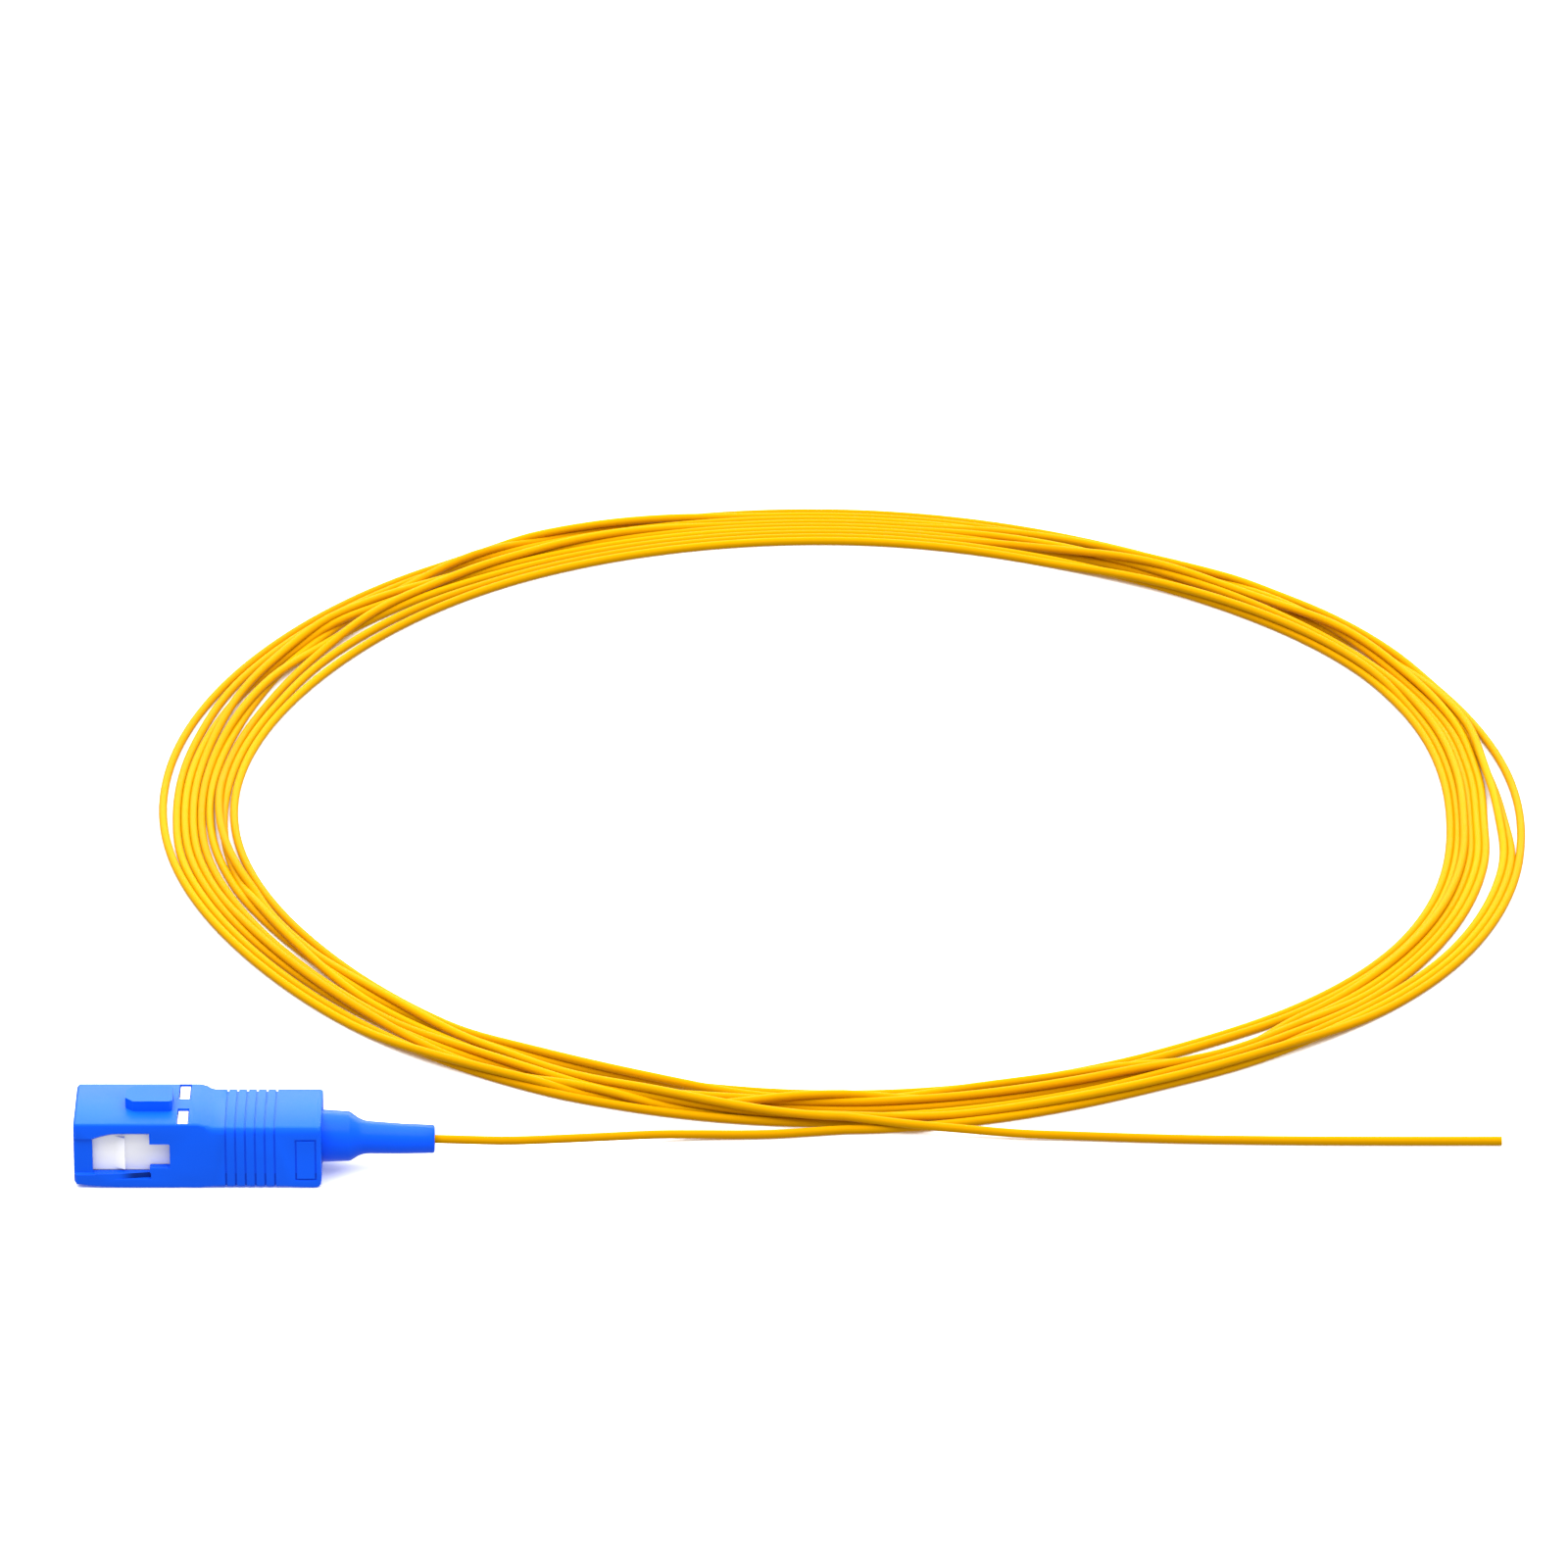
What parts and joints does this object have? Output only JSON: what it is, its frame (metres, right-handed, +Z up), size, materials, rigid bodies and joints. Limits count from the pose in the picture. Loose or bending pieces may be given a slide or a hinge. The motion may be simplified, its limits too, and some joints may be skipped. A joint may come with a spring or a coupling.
{
  "type": "fibre optic pigtail",
  "caption": "Push-pull simplex fibre optic connector with a short boot, ending a loose round coil of thin buffered fibre with a bare free end.",
  "frame": {"origin": "middle of the connector's underside, half way between its mating end and its boot's tip, on the surface that it lies on", "axes": "+X from the mating end towards the boot and the fibre, +Y across the connector towards the coil, +Z up, the key side"},
  "size_m": [0.1529, 0.1585, 0.0086],
  "materials": {
    "blue_plastic": "smooth moulded blue plastic, semi-gloss",
    "white_plastic": "moulded white plastic, satin",
    "zirconia": "polished white zirconia",
    "nickel_brass": "nickel-plated brass, turned",
    "spring_steel": "bright spring wire",
    "boot_rubber": "soft blue elastomer, semi-gloss",
    "yellow_buffer": "extruded yellow tight buffer, satin"
  },
  "bodies": {
    "plug": {"plug_frame": "white_plastic", "stop_ring": "nickel_brass", "boot": "boot_rubber", "spring": "spring_steel", "fibre_lead": "yellow_buffer", "fibre_coil": "yellow_buffer", "fibre_tail": "yellow_buffer"},
    "grip": {"outer_housing": "blue_plastic"},
    "ferrule_float": {"ferrule": "zirconia", "ferrule_flange": "nickel_brass"}
  },
  "joints": [
    {"name": "grip_slide", "type": "slide", "parent": "plug", "child": "grip", "axis": [1, 0, 0], "range_m": [0, 0.0013]},
    {"name": "ferrule_press", "type": "slide", "parent": "plug", "child": "ferrule_float", "axis": [1, 0, 0], "range_m": [0, 0.0009], "stiffness_N_per_m": 2000, "springref_m": -0.003, "deforming": ["spring"]}
  ]
}
